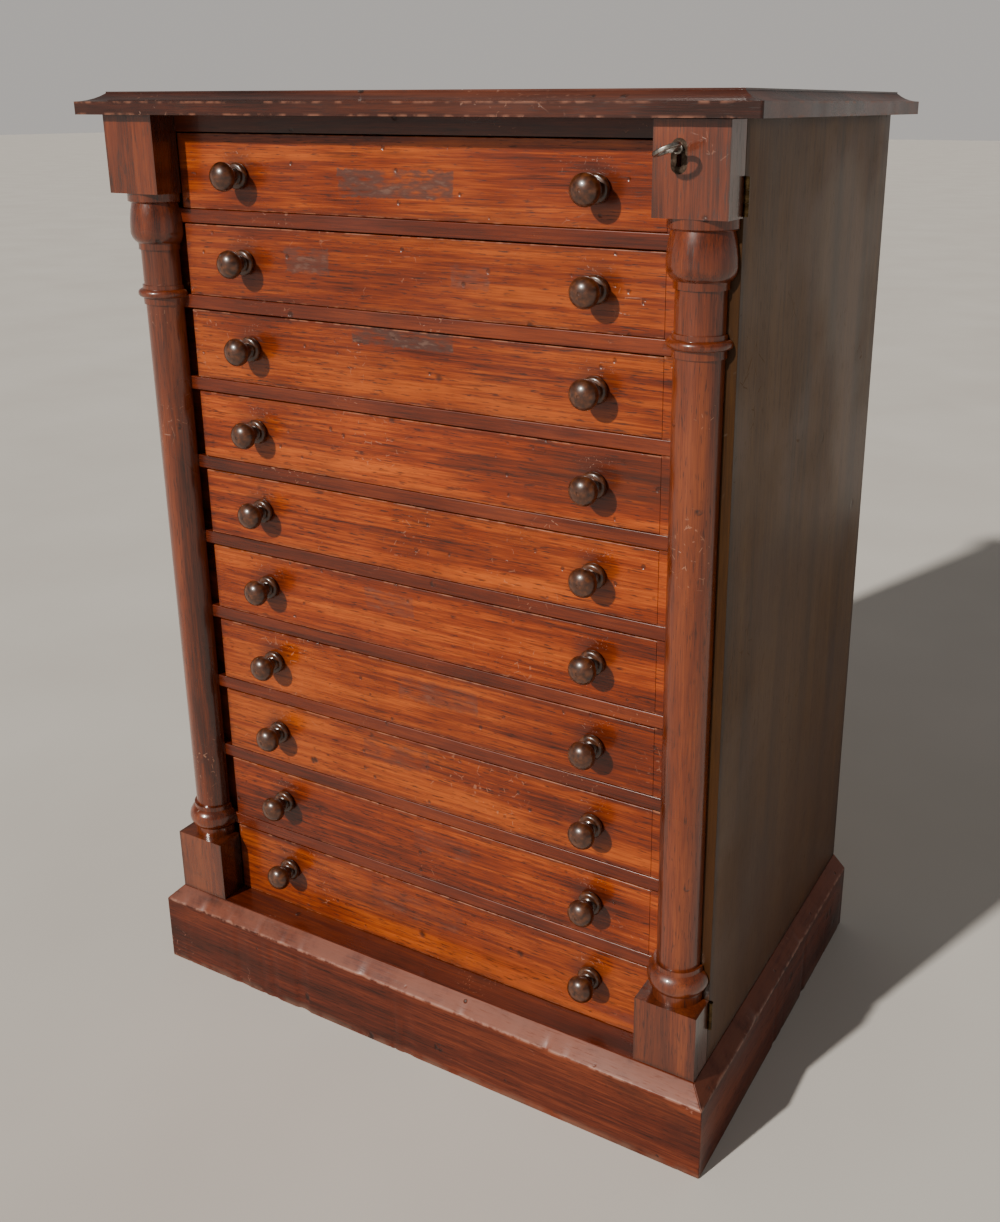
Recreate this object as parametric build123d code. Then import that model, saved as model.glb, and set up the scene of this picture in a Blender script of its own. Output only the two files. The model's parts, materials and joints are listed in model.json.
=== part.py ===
from build123d import *
import os

# Specimen cabinet: ten drawers between two half-column pilasters, on a plinth.
# The right pilaster is hinged and carries the lock that holds the drawers shut.
# Millimetres. X runs along the front, Y goes back, Z up. The parts are drawn with
# X = 0 at the middle, Y = 0 at the front of the pilaster blocks and Z = 0 on the
# floor, and are moved along Y at the end, to stand on the middle of their box.

# ---------------------------------------------------------------- carcass
case_width = 540.0
case_depth = 360.0
panel_thickness = 18.0
back_thickness = 9.0
back_rebate = 9.0
bottom_thickness = 12.5
frieze_height = 13.0
rail_depth = 45.0
rail_height = 11.4
opening_heights = (60.0, 59.0, 58.5, 58.5, 58.5, 60.0, 58.5, 60.0, 61.0, 70.0)

# ---------------------------------------------------------------- plinth
plinth_height = 66.0
plinth_bevel = 12.5
plinth_thickness = 24.0
glue_block_size = 28.0
glue_block_height = 55.0

# ---------------------------------------------------------------- top
top_overhang_side = 22.5
top_overhang_front = 9.0
top_fascia = 10.0
top_cove_width = 18.4
top_cove_rise = 6.4
top_field_lip = 1.2
top_corner_radius = 2.0

# ---------------------------------------------------------------- pilasters
pilaster_width = 52.6
pilaster_depth = 25.0
capital_block_height = 61.1
base_block_height = 59.3
capital_collar_height = 6.5
capital_collar_radius = 24.5
neck_drop = 8.0
neck_radius = 21.9
bulb_drop = 31.0
bulb_radius = 24.7
ring_drop = 40.5
ring_radius = 19.5
ring_height = 5.1
shaft_radius_top = 18.1
shaft_radius_foot = 17.8
torus_drop = 78.2
torus_height = 6.9
torus_radius = 23.5
fillet_above_height = 3.3
fillet_below_height = 5.7
base_collar_height = 8.2
base_collar_radius = 20.7
base_bulb_height = 19.0
base_bulb_radius = 25.2
base_ring_height = 4.0
base_ring_radius = 20.0

# ---------------------------------------------------------------- drawers
drawer_side_gap = 0.5
drawer_top_gap = 0.9
drawer_seat_gap = 0.3
drawer_setback = 0.3
front_thickness = 16.0
drawer_rear_gap = 8.9
side_thickness = 8.0
side_drop = 3.0
drawer_back_thickness = 7.0
drawer_bottom_thickness = 4.0
drawer_bottom_rise = 4.0
groove_depth = 3.0
dovetail_lap = 6.0
dovetail_count = 3
dovetail_width = 10.0
dovetail_flare = 2.0

# ---------------------------------------------------------------- knobs
knob_spread = 159.5
knob_offset = 5.5
knob_drop = 28.9
top_knob_drop = 32.8
knob_head_radius = 11.4
knob_head_half = 8.0
knob_front_radius = 14.0
knob_reach = 18.2
knob_neck_radius = 6.0
knob_rose_radius = 10.5
knob_rose_height = 5.0
knob_spigot_radius = 4.0
knob_spigot_length = 12.0
spigot_clearance = 0.1

# ---------------------------------------------------------------- inside the carcass
left_fillet_setback = 8.0
fillet_depth = 25.0
runner_width = 50.0
guide_width = 12.0
guide_height = 12.0
stop_width = 25.0
stop_depth = 12.0
stop_height = 3.2
stop_spread = 120.0
stop_gap = 0.3

# ---------------------------------------------------------------- locking pilaster
flap_gap = 0.8
flap_end_gap = 0.6
hinge_offset = 1.5
hinge_height = 25.0
hinge_end_distance = 1.0
leaf_width = 14.0
leaf_thickness = 1.2
barrel_radius = 2.0
hinge_pin_radius = 0.9
pin_clearance = 0.05
barrel_relief = 0.3
knuckle_gap = 0.3
screw_radius = 1.1
screw_head_radius = 2.2
screw_length = 9.0
screw_spacing = 14.0
screw_inset = 8.0

# ---------------------------------------------------------------- lock and key
keyhole_rise = 42.9
keyhole_inset = 18.1
keyhole_radius = 2.65
keyhole_slot_width = 3.3
keyhole_slot_drop = 10.9
escutcheon_width = 11.2
escutcheon_height = 22.0
escutcheon_thickness = 1.2
escutcheon_shift = -4.6
lock_inner_wood = 4.1
lock_leaf_gap = 0.5
lock_height = 40.0
lock_depth = 12.0
lock_wall = 1.2
lock_cover_thickness = 1.2
bolt_width = 12.0
bolt_thickness = 4.0
bolt_length = 33.0
bolt_clearance = 0.3
bolt_travel = 6.0
mortise_spare = 1.0
mortise_clearance = 0.6
bit_chamber_depth = 4.2
bit_chamber_clearance = 0.6
strike_width = 26.0
strike_depth = 10.0
strike_thickness = 1.2
key_pin_radius = 2.2
key_bit_thickness = 2.6
key_bit_reach = 10.2
key_bit_width = 3.2
key_gap = 0.3
key_collar_radius = 3.3
key_collar_length = 2.4
key_bow_half_width = 9.5
key_bow_half_length = 9.0
key_bow_wire = 2.8
key_bow_rounding = 0.9
key_reach = 28.0
key_rest_turn = 66.0

# ---------------------------------------------------------------- derived levels
half_width = case_width / 2
inner_half = half_width - panel_thickness
front_plane = pilaster_depth + flap_gap
drawer_plane = front_plane + drawer_setback
back_plane = case_depth
back_panel_front = back_plane - back_thickness
ledge_level = plinth_height + plinth_bevel - bottom_thickness
base_level = plinth_height + plinth_bevel
frieze_level = base_level + sum(opening_heights) + rail_height * (len(opening_heights) - 1)
top_level = frieze_level + frieze_height
top_thickness = top_fascia + top_cove_rise + top_field_lip
capital_level = top_level - capital_block_height
shaft_foot_level = base_level + base_block_height
block_inner_x = half_width - pilaster_width
pilaster_axis_x = half_width - pilaster_width / 2
drawer_half = block_inner_x - drawer_side_gap
front_back = drawer_plane + front_thickness
drawer_rear = back_panel_front - drawer_rear_gap
rail_back = front_plane + rail_depth
keyhole_x = block_inner_x + keyhole_inset
keyhole_z = capital_level + keyhole_rise
lock_width = pilaster_width - lock_inner_wood - lock_leaf_gap - leaf_width
lock_x = block_inner_x + lock_inner_wood + lock_width / 2
lock_front = pilaster_depth - lock_cover_thickness - lock_depth
bolt_back = pilaster_depth - lock_cover_thickness - lock_wall
bolt_y = bolt_back - bolt_thickness / 2
hinge_x = half_width + hinge_offset
hinge_y = pilaster_depth + flap_gap / 2
front_limit = min(-key_reach, -plinth_bevel, -top_overhang_front,
                  drawer_plane - knob_reach - knob_head_half)
middle_y = (front_limit + back_plane) / 2


def opening_levels():
    """Bottom and top of each drawer's opening, from the top drawer down."""
    levels = []
    top = frieze_level
    for height in opening_heights:
        levels.append((top - height, top))
        top -= height + rail_height
    return levels


def board(x_range, y_range, z_range):
    """A square-edged board between the given limits."""
    sizes = [high - low for low, high in (x_range, y_range, z_range)]
    middle = [(high + low) / 2 for low, high in (x_range, y_range, z_range)]
    return Pos(*middle) * Box(*sizes)


def mirrored(x_low, x_high):
    """The same X limits on the right and on the left side."""
    return ((x_low, x_high), (-x_high, -x_low))


def upright_rod(x, y, z_range, radius):
    low, high = z_range
    return Pos(x, y, (low + high) / 2) * Cylinder(radius, high - low)


def rod_along_y(x, z, y_range, radius):
    low, high = y_range
    return Pos(x, (low + high) / 2, z) * Rot(90, 0, 0) * Cylinder(radius, high - low)


def prism(plan, z_range):
    """An outline of (x, y) points, from one level to the other."""
    low, high = z_range
    face = make_face(Polyline(*[(x, y, low) for x, y in plan], close=True))
    return extrude(face, amount=high - low, dir=(0, 0, 1))


def prism_along_x(section, x_range):
    """An outline of (y, z) points, run along X."""
    low, high = x_range
    face = make_face(Polyline(*[(low, y, z) for y, z in section], close=True))
    return extrude(face, amount=high - low, dir=(1, 0, 0))


def prism_along_y(section, y_range):
    """An outline of (x, z) points, run along Y."""
    low, high = y_range
    face = make_face(Polyline(*[(x, low, z) for x, z in section], close=True))
    return extrude(face, amount=high - low, dir=(0, 1, 0))


def group(pieces):
    return Compound([solid for piece in pieces for solid in piece.solids()])


# ---------------------------------------------------------------- top board
def top_section(edge, field, far):
    """The top's outline: a fascia, a cove and a lip at `edge`, and square at `far`.

    The first coordinate runs along the ground and the second one is the height.
    """
    inward = 1 if field > edge else -1
    fascia_top = top_level + top_fascia
    cove_top = fascia_top + top_cove_rise
    upper = top_level + top_thickness
    return [
        Polyline((far, upper), (far, top_level), (edge, top_level), (edge, fascia_top)),
        TangentArc((edge, fascia_top), (field, cove_top), tangent=(inward, 0)),
        Polyline((field, cove_top), (field, upper), (far, upper)),
    ]


def top_board():
    reach = half_width + top_overhang_side
    front = -top_overhang_front
    front_face = make_face(top_section(front, front + top_cove_width, back_plane))
    along_x = extrude(Plane.YZ.offset(-reach) * front_face, amount=2 * reach)
    halves = []
    for side in (-1, 1):
        section = top_section(side * reach, side * (reach - top_cove_width), 0)
        side_face = make_face(section)
        halves.append(extrude(Plane.XZ.offset(-back_plane) * side_face, amount=back_plane - front))
    slab = along_x & (halves[0] + halves[1])
    corners = [edge for edge in slab.edges().filter_by(Axis.Z)
               if edge.center().Y < front + top_corner_radius and edge.center().Z < top_level + top_fascia]
    slab = fillet(corners, top_corner_radius)
    return slab - strike_blank() - strike_mortise()


def strike_blank():
    return board((lock_x - strike_width / 2, lock_x + strike_width / 2),
                 (bolt_y - strike_depth / 2, bolt_y + strike_depth / 2),
                 (top_level, top_level + strike_thickness))


def bolt_way(z_range, clearance):
    """The space in which the bolt slides."""
    half = bolt_width / 2 + clearance
    return board((lock_x - half, lock_x + half),
                 (bolt_y - bolt_thickness / 2 - clearance, bolt_y + bolt_thickness / 2 + clearance),
                 z_range)


def strike_mortise():
    return bolt_way((top_level, top_level + bolt_travel + mortise_spare), mortise_clearance)


def strike_plate():
    return strike_blank() - strike_mortise()


# ---------------------------------------------------------------- carcass
def back_panel():
    reach = inner_half + back_rebate
    return board((-reach, reach), (back_panel_front, back_plane), (base_level, top_level))


def side_panel(side):
    x_range = (inner_half, half_width) if side > 0 else (-half_width, -inner_half)
    panel = board(x_range, (front_plane, back_plane), (base_level, top_level)) - back_panel()
    if side > 0:
        for z_range in hinge_ranges():
            panel -= leaf_plate(z_range, front_plane, front_plane + leaf_thickness)
            panel -= barrel_space(z_range)
            panel -= group(screws(z_range, 1))
    return panel


def bottom_board():
    return board((-half_width, half_width), (0, back_plane), (ledge_level, base_level))


def frieze_rail():
    return board((-inner_half, inner_half), (front_plane, rail_back), (frieze_level, top_level))


def rail_levels():
    return [(low - rail_height, low) for low, high in opening_levels()[:-1]]


def drawer_rails():
    return group([board((-inner_half, inner_half), (front_plane, rail_back), z_range)
                  for z_range in rail_levels()])


def drawer_runners():
    return group([board(x_range, (rail_back, back_panel_front), z_range)
                  for z_range in rail_levels()
                  for x_range in mirrored(inner_half - runner_width, inner_half)])


def fillets(side):
    """Pieces that close the front between the rails, behind one pilaster."""
    setback = left_fillet_setback if side < 0 else 0
    x_range = (block_inner_x, inner_half) if side > 0 else (-inner_half, -block_inner_x)
    front = front_plane + setback
    return group([board(x_range, (front, front + fillet_depth), z_range)
                  for z_range in opening_levels()])


def drawer_guides():
    """Strips on the runners that keep each drawer straight."""
    right, left = mirrored(block_inner_x, block_inner_x + guide_width)
    starts = ((right, front_plane + fillet_depth), (left, front_plane + left_fillet_setback + fillet_depth))
    return group([board(x_range, (start, back_panel_front), (low, low + guide_height))
                  for low, high in opening_levels()
                  for x_range, start in starts])


def drawer_stops():
    start = front_back + stop_gap
    return group([board((x - stop_width / 2, x + stop_width / 2), (start, start + stop_depth),
                        (low, low + stop_height))
                  for low, high in opening_levels()
                  for x in (-stop_spread, stop_spread)])


# ---------------------------------------------------------------- plinth
def plinth_section(outer, inward):
    """The plinth's outline, from its outer face: a bevel outside, a ledge inside."""
    points = ((0, 0), (plinth_thickness, 0), (plinth_thickness, ledge_level),
              (plinth_bevel, ledge_level), (plinth_bevel, base_level), (0, plinth_height))
    return [(outer + inward * distance, level) for distance, level in points]


def plinth_front():
    outer_x = half_width + plinth_bevel
    outer_y = -plinth_bevel
    inner_x = outer_x - plinth_thickness
    inner_y = outer_y + plinth_thickness
    plan = [(-outer_x, outer_y), (outer_x, outer_y), (inner_x, inner_y), (-inner_x, inner_y)]
    moulding = prism_along_x(plinth_section(outer_y, 1), (-outer_x, outer_x))
    return moulding & prism(plan, (0, base_level))


def plinth_side(side):
    outer_x = half_width + plinth_bevel
    outer_y = -plinth_bevel
    inner_x = outer_x - plinth_thickness
    inner_y = outer_y + plinth_thickness
    plan = [(side * outer_x, outer_y), (side * outer_x, back_plane),
            (side * inner_x, back_plane), (side * inner_x, inner_y)]
    moulding = prism_along_y(plinth_section(side * outer_x, -side), (outer_y, back_plane))
    return moulding & prism(plan, (0, base_level))


def plinth_inner():
    """Half the width inside the plinth, and where its back board begins."""
    return half_width + plinth_bevel - plinth_thickness, back_plane - plinth_thickness


def plinth_back():
    inner_x, start = plinth_inner()
    return board((-inner_x, inner_x), (start, back_plane), (0, ledge_level))


def plinth_glue_blocks():
    inner_x, back_start = plinth_inner()
    front_start = plinth_thickness - plinth_bevel
    rows = ((front_start, front_start + glue_block_size), (back_start - glue_block_size, back_start))
    return group([board(x_range, y_range, (ledge_level - glue_block_height, ledge_level))
                  for y_range in rows
                  for x_range in mirrored(inner_x - glue_block_size, inner_x)])


# ---------------------------------------------------------------- pilasters
def turned_profile():
    """Half the outline of the turned column, from the capital block down."""
    top = capital_level
    collar = top - capital_collar_height
    neck = top - neck_drop
    bulb = top - bulb_drop
    ring = top - ring_drop
    ring_foot = ring - ring_height
    torus = top - torus_drop
    torus_foot = torus - torus_height
    fillet_head = torus + fillet_above_height
    fillet_foot = torus_foot - fillet_below_height
    torus_edge = torus_radius - torus_height / 2
    foot = shaft_foot_level
    base_collar = foot + base_collar_height
    base_bulb = base_collar + base_bulb_height
    base_ring = base_bulb + base_ring_height
    bulb_middle = (base_collar + base_bulb) / 2

    def at(radius, level):
        return (radius, 0, level)

    return [
        Polyline(at(0, foot), at(0, top), at(capital_collar_radius, top),
                 at(capital_collar_radius, collar), at(neck_radius, neck)),
        TangentArc(at(bulb_radius, bulb), at(neck_radius, neck), tangent=(0, 0, 1)),
        TangentArc(at(bulb_radius, bulb), at(ring_radius, ring), tangent=(0, 0, -1)),
        Polyline(at(ring_radius, ring), at(ring_radius, ring_foot), at(shaft_radius_top, ring_foot),
                 at(shaft_radius_top, fillet_head), at(ring_radius, fillet_head),
                 at(ring_radius, torus), at(torus_edge, torus)),
        ThreePointArc(at(torus_edge, torus), at(torus_radius, torus - torus_height / 2),
                      at(torus_edge, torus_foot)),
        Polyline(at(torus_edge, torus_foot), at(ring_radius, torus_foot), at(ring_radius, fillet_foot),
                 at(shaft_radius_top, fillet_foot), at(shaft_radius_foot, base_ring),
                 at(base_ring_radius, base_ring), at(base_ring_radius, base_bulb)),
        ThreePointArc(at(base_ring_radius, base_bulb), at(base_bulb_radius, bulb_middle),
                      at(base_collar_radius, base_collar)),
        Polyline(at(base_collar_radius, base_collar), at(base_collar_radius, foot), at(0, foot)),
    ]


def half_column():
    """Turned between square ends and split down its middle, with its flat back at Y = 0."""
    turned = revolve(make_face(turned_profile()), axis=Axis.Z, revolution_arc=180)
    return Rot(0, 0, 180) * turned


def pilaster(side, back, end_gap):
    low = base_level + end_gap
    high = top_level - end_gap
    x_middle = side * pilaster_axis_x
    x_range = (x_middle - pilaster_width / 2, x_middle + pilaster_width / 2)
    return (Pos(x_middle, back, 0) * half_column()
            + board(x_range, (0, back), (low, shaft_foot_level))
            + board(x_range, (0, back), (capital_level, high)))


def left_pilaster():
    return pilaster(-1, front_plane, 0)


def locking_pilaster():
    flap = pilaster(1, pilaster_depth, flap_end_gap)
    for z_range in hinge_ranges():
        flap -= leaf_plate(z_range, pilaster_depth - leaf_thickness, pilaster_depth)
        flap -= barrel_space(z_range)
        flap -= group(screws(z_range, -1))
    flap -= escutcheon_blank()
    flap -= keyhole((0, lock_front))
    flap -= lock_space()
    return flap


# ---------------------------------------------------------------- hinges
def hinge_ranges():
    """Lower and upper end of each hinge, beside the two square ends."""
    upper = capital_level + hinge_end_distance
    lower = shaft_foot_level - hinge_end_distance
    return ((lower - hinge_height, lower), (upper, upper + hinge_height))


def leaf_plate(z_range, y_low, y_high):
    return board((half_width - leaf_width, half_width), (y_low, y_high), z_range)


def barrel_space(z_range):
    low, high = z_range
    return upright_rod(hinge_x, hinge_y, (low - barrel_relief, high + barrel_relief),
                       barrel_radius + barrel_relief)


def knuckle(z_range):
    return upright_rod(hinge_x, hinge_y, z_range, barrel_radius)


def knuckle_ranges(z_range):
    """Three knuckles: the middle one turns and the outer two stand still."""
    low, high = z_range
    third = (high - low - 2 * knuckle_gap) / 3
    return [(low + index * (third + knuckle_gap), low + index * (third + knuckle_gap) + third)
            for index in range(3)]


def leaf(z_range, y_range, own_knuckles, direction):
    """A leaf, cut clear of the other leaf's knuckles, with its own rolled round the pin."""
    plate = leaf_plate(z_range, *y_range) - barrel_space(z_range)
    for own in own_knuckles:
        plate += board((half_width - leaf_width, hinge_x), y_range, own) + knuckle(own)
    low, high = z_range
    bore = hinge_pin_radius + (0 if direction > 0 else pin_clearance)
    plate -= upright_rod(hinge_x, hinge_y, (low - barrel_relief, high + barrel_relief), bore)
    return plate - group(screws(z_range, direction))


def hinge_case_leaves():
    leaves = []
    for z_range in hinge_ranges():
        outer_knuckles = knuckle_ranges(z_range)[::2]
        leaves.append(leaf(z_range, (front_plane, front_plane + leaf_thickness), outer_knuckles, 1))
    return group(leaves)


def hinge_flap_leaves():
    leaves = []
    for z_range in hinge_ranges():
        middle_knuckle = knuckle_ranges(z_range)[1:2]
        leaves.append(leaf(z_range, (pilaster_depth - leaf_thickness, pilaster_depth), middle_knuckle, -1))
    return group(leaves)


def hinge_pins():
    return group([upright_rod(hinge_x, hinge_y, z_range, hinge_pin_radius) for z_range in hinge_ranges()])


def screws(z_range, direction):
    """Two countersunk screws through one leaf: +1 goes back into the case, -1 into the flap."""
    face = front_plane if direction > 0 else pilaster_depth
    middle = sum(z_range) / 2
    head_depth = screw_head_radius - screw_radius
    turn = Rot(90, 0, 0) if direction > 0 else Rot(-90, 0, 0)
    shank = Pos(0, 0, -screw_length / 2) * Cylinder(screw_radius, screw_length)
    head = Pos(0, 0, -head_depth / 2) * Cone(screw_radius, screw_head_radius, head_depth)
    screw = shank + head
    return [Pos(half_width - screw_inset, face, middle + offset) * turn * screw
            for offset in (-screw_spacing / 2, screw_spacing / 2)]


def hinge_screws(direction):
    return group([screw for z_range in hinge_ranges() for screw in screws(z_range, direction)])


# ---------------------------------------------------------------- lock
def keyhole(y_range):
    slot = board((keyhole_x - keyhole_slot_width / 2, keyhole_x + keyhole_slot_width / 2),
                 y_range, (keyhole_z - keyhole_slot_drop, keyhole_z))
    return rod_along_y(keyhole_x, keyhole_z, y_range, keyhole_radius) + slot


def escutcheon_blank():
    """The escutcheon without its hole: long, upright and round at both ends."""
    y_range = (0, escutcheon_thickness)
    middle = keyhole_z + escutcheon_shift
    radius = escutcheon_width / 2
    straight = escutcheon_height / 2 - radius
    plate = board((keyhole_x - radius, keyhole_x + radius), y_range, (middle - straight, middle + straight))
    for level in (middle - straight, middle + straight):
        plate += rod_along_y(keyhole_x, level, y_range, radius)
    return plate


def keyhole_escutcheon():
    return escutcheon_blank() - keyhole((0, escutcheon_thickness))


def lock_top():
    return top_level - flap_end_gap


def lock_space():
    return board((lock_x - lock_width / 2, lock_x + lock_width / 2),
                 (lock_front, pilaster_depth), (lock_top() - lock_height, lock_top()))


def bolt_range():
    """The drawn-back bolt, its end just inside the lock's upper edge."""
    head = lock_top() - bolt_clearance
    return head - bolt_length, head


def lock_case():
    cover_front = pilaster_depth - lock_cover_thickness
    body = board((lock_x - lock_width / 2, lock_x + lock_width / 2),
                 (lock_front, cover_front), (lock_top() - lock_height, lock_top()))
    chamber_start = lock_front + lock_wall
    chamber = rod_along_y(keyhole_x, keyhole_z, (chamber_start, chamber_start + bit_chamber_depth),
                          key_bit_reach + bit_chamber_clearance)
    low, high = bolt_range()
    way = bolt_way((low - bolt_clearance, lock_top()), bolt_clearance)
    way += board((lock_x - bolt_width / 2, lock_x + bolt_width / 2),
                 (chamber_start, cover_front), (low + lock_wall, keyhole_z))
    return body - chamber - way - keyhole((lock_front, chamber_start))


def lock_cover():
    return board((lock_x - lock_width / 2, lock_x + lock_width / 2),
                 (pilaster_depth - lock_cover_thickness, pilaster_depth),
                 (lock_top() - lock_height, lock_top()))


def lock_bolt():
    return bolt_way(bolt_range(), 0)


def key():
    """The key as it stands in the lock, turned part way."""
    pin_end = lock_front + lock_wall + bit_chamber_depth - key_gap
    bow_middle = -key_reach + key_bow_half_length
    pin = rod_along_y(0, 0, (bow_middle + key_bow_half_length - key_bow_wire, pin_end), key_pin_radius)
    collar = rod_along_y(0, 0, (-key_gap - key_collar_length, -key_gap), key_collar_radius)
    bit = board((-key_bit_thickness / 2, key_bit_thickness / 2), (pin_end - key_bit_width, pin_end),
                (-key_bit_reach, 0))
    ring = (Ellipse(key_bow_half_length, key_bow_half_width)
            - Ellipse(key_bow_half_length - key_bow_wire, key_bow_half_width - key_bow_wire))
    bow = extrude(Plane.YZ.offset(-key_bow_wire / 2) * Pos(bow_middle, 0) * ring, amount=key_bow_wire)
    bow = fillet(bow.edges(), key_bow_rounding)
    turned = Rot(0, key_rest_turn, 0) * (pin + collar + bit + bow)
    return Pos(keyhole_x, 0, keyhole_z) * turned


# ---------------------------------------------------------------- drawers
def front_range(opening):
    low, high = opening
    return low + drawer_seat_gap, high - drawer_top_gap


def tails(side, z_range):
    """The dovetails that join one drawer side to the front."""
    low, high = z_range
    baseline = front_back
    tip = drawer_plane + dovetail_lap
    x_range = (drawer_half - side_thickness, drawer_half)
    if side < 0:
        x_range = (-drawer_half, side_thickness - drawer_half)
    pitch = (high - low) / dovetail_count
    pieces = []
    for index in range(dovetail_count):
        middle = low + pitch * (index + 0.5)
        narrow = dovetail_width / 2
        wide = narrow + dovetail_flare
        section = [(baseline, middle - narrow), (tip, middle - wide),
                   (tip, middle + wide), (baseline, middle + narrow)]
        pieces.append(prism_along_x(section, x_range))
    return pieces


def drawer_bottom(opening):
    low = front_range(opening)[0] + drawer_bottom_rise
    reach = drawer_half - side_thickness + groove_depth
    return board((-reach, reach), (front_back - groove_depth, drawer_rear),
                 (low, low + drawer_bottom_thickness))


def side_range(opening):
    low, high = front_range(opening)
    return low, high - side_drop


def knob_places(index, opening):
    drop = top_knob_drop if index == 0 else knob_drop
    return [(knob_offset + side * knob_spread, opening[1] - drop) for side in (-1, 1)]


def drawer_front(index, opening):
    front = board((-drawer_half, drawer_half), (drawer_plane, front_back), front_range(opening))
    front -= drawer_bottom(opening)
    for side in (-1, 1):
        front -= group(tails(side, side_range(opening)))
    for x, z in knob_places(index, opening):
        front -= rod_along_y(x, z, (drawer_plane, drawer_plane + knob_spigot_length),
                             knob_spigot_radius + spigot_clearance)
    return front


def drawer_box(opening):
    low, high = side_range(opening)
    base = drawer_bottom(opening)
    pieces = [base]
    for side, x_range in zip((1, -1), mirrored(drawer_half - side_thickness, drawer_half)):
        wall = board(x_range, (front_back, drawer_rear), (low, high))
        for tail in tails(side, (low, high)):
            wall += tail
        pieces.append(wall - base)
    reach = drawer_half - side_thickness
    level = low + drawer_bottom_rise + drawer_bottom_thickness
    pieces.append(board((-reach, reach), (drawer_rear - drawer_back_thickness, drawer_rear), (level, high)))
    return group(pieces)


def knob():
    """A turned knob along +Y, with the drawer's face at Y = 0."""
    tip = (0, knob_reach + knob_head_half)
    waist = (knob_head_radius, knob_reach)
    centre_depth = knob_front_radius - knob_head_half
    edge_radius = ((knob_front_radius ** 2 - knob_head_radius ** 2 - centre_depth ** 2)
                   / (2 * (knob_front_radius - knob_head_radius)))
    front_centre = Vector(0, knob_reach - centre_depth)
    edge_centre = Vector(knob_head_radius - edge_radius, knob_reach)
    meeting = front_centre + (edge_centre - front_centre).normalized() * knob_front_radius
    neck_top = (knob_neck_radius,
                knob_reach - knob_head_half * (1 - (knob_neck_radius / knob_head_radius) ** 2) ** 0.5)
    rose_half = knob_rose_height / 2
    rose_edge = (knob_rose_radius, rose_half)
    rose_flat = (knob_rose_radius - rose_half, knob_rose_height)
    outline = [
        TangentArc(tip, meeting, tangent=(1, 0)),
        TangentArc(waist, meeting, tangent=(0, 1)),
        TangentArc(waist, neck_top, tangent=(0, -1)),
        Polyline(neck_top, (knob_neck_radius, knob_rose_height), rose_flat),
        TangentArc(rose_edge, rose_flat, tangent=(0, 1)),
        Polyline(rose_edge, (knob_rose_radius, 0), (knob_spigot_radius, 0),
                 (knob_spigot_radius, -knob_spigot_length), (0, -knob_spigot_length), tip),
    ]
    return revolve(make_face(outline), axis=Axis.Y, revolution_arc=360)


def drawer_knobs(index, opening):
    return group([Pos(x, drawer_plane, z) * Rot(0, 0, 180) * knob() for x, z in knob_places(index, opening)])


# ---------------------------------------------------------------- all nodes
def nodes():
    pieces = {
        "top_board": top_board(),
        "strike_plate": strike_plate(),
        "side_panel_left": side_panel(-1),
        "side_panel_right": side_panel(1),
        "back_panel": back_panel(),
        "bottom_board": bottom_board(),
        "frieze_rail": frieze_rail(),
        "drawer_rails": drawer_rails(),
        "drawer_runners": drawer_runners(),
        "drawer_guides": drawer_guides(),
        "drawer_stops": drawer_stops(),
        "left_fillets": fillets(-1),
        "right_fillets": fillets(1),
        "plinth_front": plinth_front(),
        "plinth_left": plinth_side(-1),
        "plinth_right": plinth_side(1),
        "plinth_back": plinth_back(),
        "plinth_glue_blocks": plinth_glue_blocks(),
        "left_pilaster": left_pilaster(),
        "locking_pilaster": locking_pilaster(),
        "hinge_case_leaves": hinge_case_leaves(),
        "hinge_flap_leaves": hinge_flap_leaves(),
        "hinge_pins": hinge_pins(),
        "hinge_case_screws": hinge_screws(1),
        "hinge_flap_screws": hinge_screws(-1),
        "keyhole_escutcheon": keyhole_escutcheon(),
        "lock_case": lock_case(),
        "lock_cover": lock_cover(),
        "lock_bolt": lock_bolt(),
        "key": key(),
    }
    for index, opening in enumerate(opening_levels()):
        name = f"drawer_{index + 1:02d}"
        pieces[f"{name}_front"] = drawer_front(index, opening)
        pieces[f"{name}_box"] = drawer_box(opening)
        pieces[f"{name}_knobs"] = drawer_knobs(index, opening)
    return pieces


os.makedirs("parts", exist_ok=True)
for node, shape in nodes().items():
    export_step(Pos(0, -middle_y, 0) * shape, f"parts/{node}.step")
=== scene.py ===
import json
from math import cos, pi, radians, sin

import bmesh
import bpy
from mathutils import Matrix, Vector, noise


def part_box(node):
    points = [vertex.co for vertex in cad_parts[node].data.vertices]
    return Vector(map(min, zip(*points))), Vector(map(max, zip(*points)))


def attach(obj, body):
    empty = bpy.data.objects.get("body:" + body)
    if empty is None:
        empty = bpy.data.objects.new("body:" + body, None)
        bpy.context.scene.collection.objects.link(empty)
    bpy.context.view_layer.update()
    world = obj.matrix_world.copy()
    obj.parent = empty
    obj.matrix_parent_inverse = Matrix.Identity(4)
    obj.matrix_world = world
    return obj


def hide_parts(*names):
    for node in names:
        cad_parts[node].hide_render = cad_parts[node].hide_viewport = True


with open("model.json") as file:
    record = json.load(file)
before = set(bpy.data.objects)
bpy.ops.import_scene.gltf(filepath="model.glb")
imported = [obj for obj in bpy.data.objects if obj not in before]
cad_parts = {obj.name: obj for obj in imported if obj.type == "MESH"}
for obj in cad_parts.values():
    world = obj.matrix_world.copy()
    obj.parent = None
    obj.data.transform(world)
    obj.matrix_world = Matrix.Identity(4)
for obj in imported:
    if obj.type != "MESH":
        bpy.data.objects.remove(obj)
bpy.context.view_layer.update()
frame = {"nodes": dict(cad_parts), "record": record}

# ------------------------------------------------------------------ camera and light (metres)
photo_width = 1000
photo_height = 1222
focal_pixels = 1250.97
optical_centre = (560.66, 508.81)
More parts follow.
